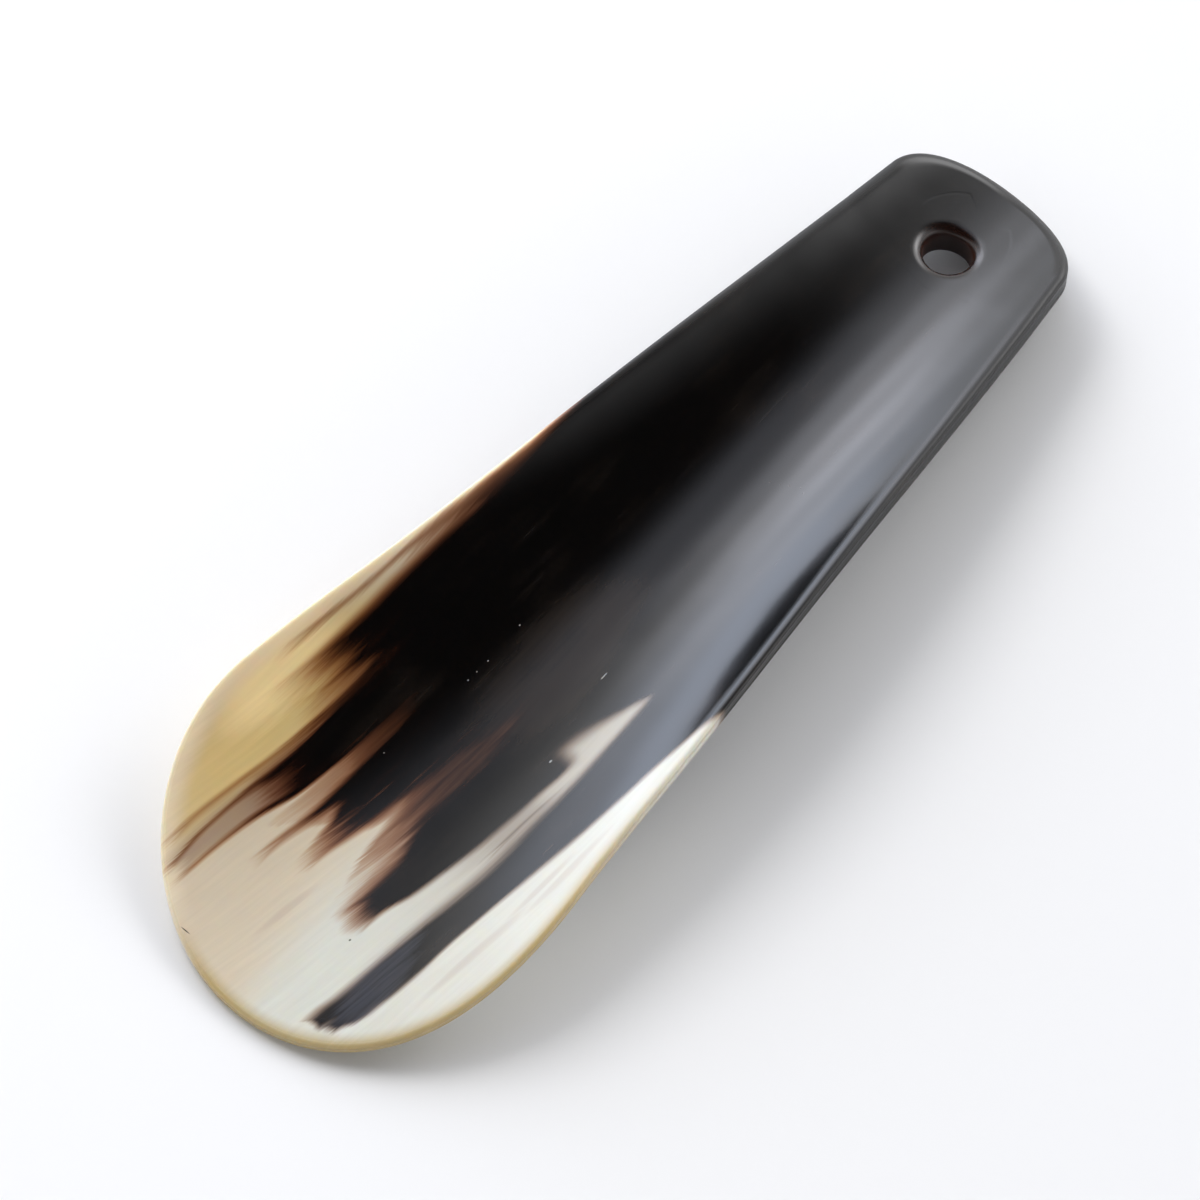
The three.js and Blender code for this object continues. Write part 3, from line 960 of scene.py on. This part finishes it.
# Degrees, metres and, for the lens, millimetres.
CAMERA_ELEVATION = 58.0
CAMERA_AZIMUTH = 50.6
CAMERA_DISTANCE = 0.55
CAMERA_TARGET = Vector((-0.004, 0.0019, 0.0))
CAMERA_LENS = 144.5
CAMERA_SENSOR = 36.0
CAMERA_CLIP = 0.01

TABLE_HALF = 3.0                # half the table's side
TABLE_COLOUR = (0.91, 0.91, 0.91, 1)
TABLE_ROUGHNESS = 0.7


def table_top():
    """A large pale table under the horn."""
    mesh = bpy.data.meshes.new("table")
    corners = [(-1, -1), (1, -1), (1, 1), (-1, 1)]
    corners = [(x * TABLE_HALF, y * TABLE_HALF, 0) for x, y in corners]
    mesh.from_pydata(corners, [], [(0, 1, 2, 3)])
    table = bpy.data.objects.new("table", mesh)
    bpy.context.scene.collection.objects.link(table)
    material = bpy.data.materials.new("white_card")
    material.use_nodes = True
    shader = material.node_tree.nodes["Principled BSDF"]
    shader.inputs["Base Color"].default_value = TABLE_COLOUR
    shader.inputs["Roughness"].default_value = TABLE_ROUGHNESS
    mesh.materials.append(material)


def heading(degrees):
    """A level direction, measured anticlockwise from +X."""
    return Vector((math.cos(math.radians(degrees)), math.sin(math.radians(degrees)), 0))


def make_camera():
    """The camera at the photo's angle, over the near side and the blade's end."""
    data = bpy.data.cameras.new("camera")
    data.lens = CAMERA_LENS
    data.sensor_width = CAMERA_SENSOR
    data.clip_start = CAMERA_CLIP
    camera = bpy.data.objects.new("camera", data)
    bpy.context.scene.collection.objects.link(camera)
    level = math.cos(math.radians(CAMERA_ELEVATION))
    rise = math.sin(math.radians(CAMERA_ELEVATION))
    azimuth = math.radians(CAMERA_AZIMUTH)
    back = Vector((-math.sin(azimuth) * level, -math.cos(azimuth) * level, rise))
    camera.location = CAMERA_TARGET + back * CAMERA_DISTANCE
    camera.rotation_euler = (-back).to_track_quat("-Z", "Y").to_euler()
    bpy.context.scene.camera = camera


SKY_COLOUR = (0.82, 0.95, 1.22)
CLOUD_COLOUR = (0.94, 0.97, 1.09)
ROOM_COLOUR = (1.0, 1.0, 1.012)
SEEN_BACKDROP = (0.9, 0.91, 0.92)    # what the camera itself sees behind the table

# The studio as the horn mirrors it: soft patches of light, each toward a heading anticlockwise
# from +X and an elevation, with its spread in degrees, its brightness and its colour.
PATCHES = {
    "window_foot": (69.5, 7, 6.4, 1.4, SKY_COLOUR),
    "window_left": (73, 17, 11.2, 1.2, SKY_COLOUR),
    "window_middle": (62, 21, 6.2, 2.1, CLOUD_COLOUR),
    "window_head": (55.5, 32.5, 6.6, 3.3, CLOUD_COLOUR),
    "window_top": (46, 43, 7.1, 1.35, CLOUD_COLOUR),
    "window_glow": (38, 57, 12.3, 0.85, CLOUD_COLOUR),
    "softbox_far": (-5, 30, 11, 2.6, ROOM_COLOUR),
    "softbox_near": (-25, 29, 8.5, 4.2, ROOM_COLOUR),
}
PATCH_EDGE = (0.02, 0.85)       # shares of a patch's fall over which its light comes up
WALL_LIGHT = 1.28               # pale walls all round
CEILING_LIGHT = 0.03
DARK_CENTRE = (-139, 75)        # heading and elevation of the middle of the unlit ceiling
DARK_EDGE = (41.5, 66)          # degrees from there over which the ceiling turns into the walls

KEY_FROM = (80, 45)             # heading and elevation of the key light
KEY_DISTANCE = 0.7
KEY_SIZE = 0.32
KEY_POWER = 1.95


def direction(toward, elevation):
    """A unit vector toward a heading and an elevation in degrees."""
    level = math.cos(math.radians(elevation))
    return heading(toward) * level + Vector((0, 0, math.sin(math.radians(elevation))))


def closeness(tree, way, toward, elevation):
    """The cosine of the angle between the way looked and a heading and elevation."""
    dot = tree.nodes.new("ShaderNodeVectorMath")
    dot.operation = "DOT_PRODUCT"
    tree.links.new(way, dot.inputs[0])
    dot.inputs[1].default_value = direction(toward, elevation)
    return dot.outputs["Value"]


def light_patch(tree, way, toward, elevation, spread, strength):
    """A round patch of even light with a soft edge."""
    tight = 1 / math.radians(spread) ** 2
    near = closeness(tree, way, toward, elevation)
    fall = calc(tree, "EXPONENT", calc(tree, "MULTIPLY_ADD", near, tight, -tight))
    return ramp(tree, fall, *PATCH_EDGE, 0.0, strength)


def window_light():
    """The soft key light, from the far left. It casts the shadow, and mirrors don't show it."""
    data = bpy.data.lights.new("key_window", "AREA")
    data.size = KEY_SIZE
    data.energy = KEY_POWER
    light = bpy.data.objects.new("key_window", data)
    toward = direction(*KEY_FROM)
    light.location = toward * KEY_DISTANCE
    light.rotation_euler = toward.to_track_quat("Z", "Y").to_euler()
    light.visible_glossy = False
    bpy.context.scene.collection.objects.link(light)


def studio():
    """Window light from the far side, two softboxes to the right and a dark ceiling."""
    world = bpy.data.worlds.new("studio")
    world.use_nodes = True
    tree = world.node_tree
    way = tree.nodes.new("ShaderNodeTexCoord").outputs["Generated"]
    inner, outer = (math.cos(math.radians(angle)) for angle in DARK_EDGE)
    dark = closeness(tree, way, *DARK_CENTRE)
    light = ramp(tree, dark, inner, outer, CEILING_LIGHT, WALL_LIGHT)
    colour = blended(tree, 1.0, light, ROOM_COLOUR, "MULTIPLY")
    for *patch, tint in PATCHES.values():
        glow = blended(tree, 1.0, light_patch(tree, way, *patch), tint, "MULTIPLY")
        colour = blended(tree, 1.0, colour, glow, "ADD")
    seen = tree.nodes.new("ShaderNodeLightPath").outputs["Is Camera Ray"]
    colour = blended(tree, seen, colour, SEEN_BACKDROP)
    tree.links.new(colour, tree.nodes["Background"].inputs["Color"])
    bpy.context.scene.world = world


make_camera()
horn = horn_object()
horn.data.materials.append(horn_material())
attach(horn, "root")
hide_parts(NODE)
table_top()
studio()
window_light()

scene = bpy.context.scene
scene.view_settings.view_transform = "Standard"
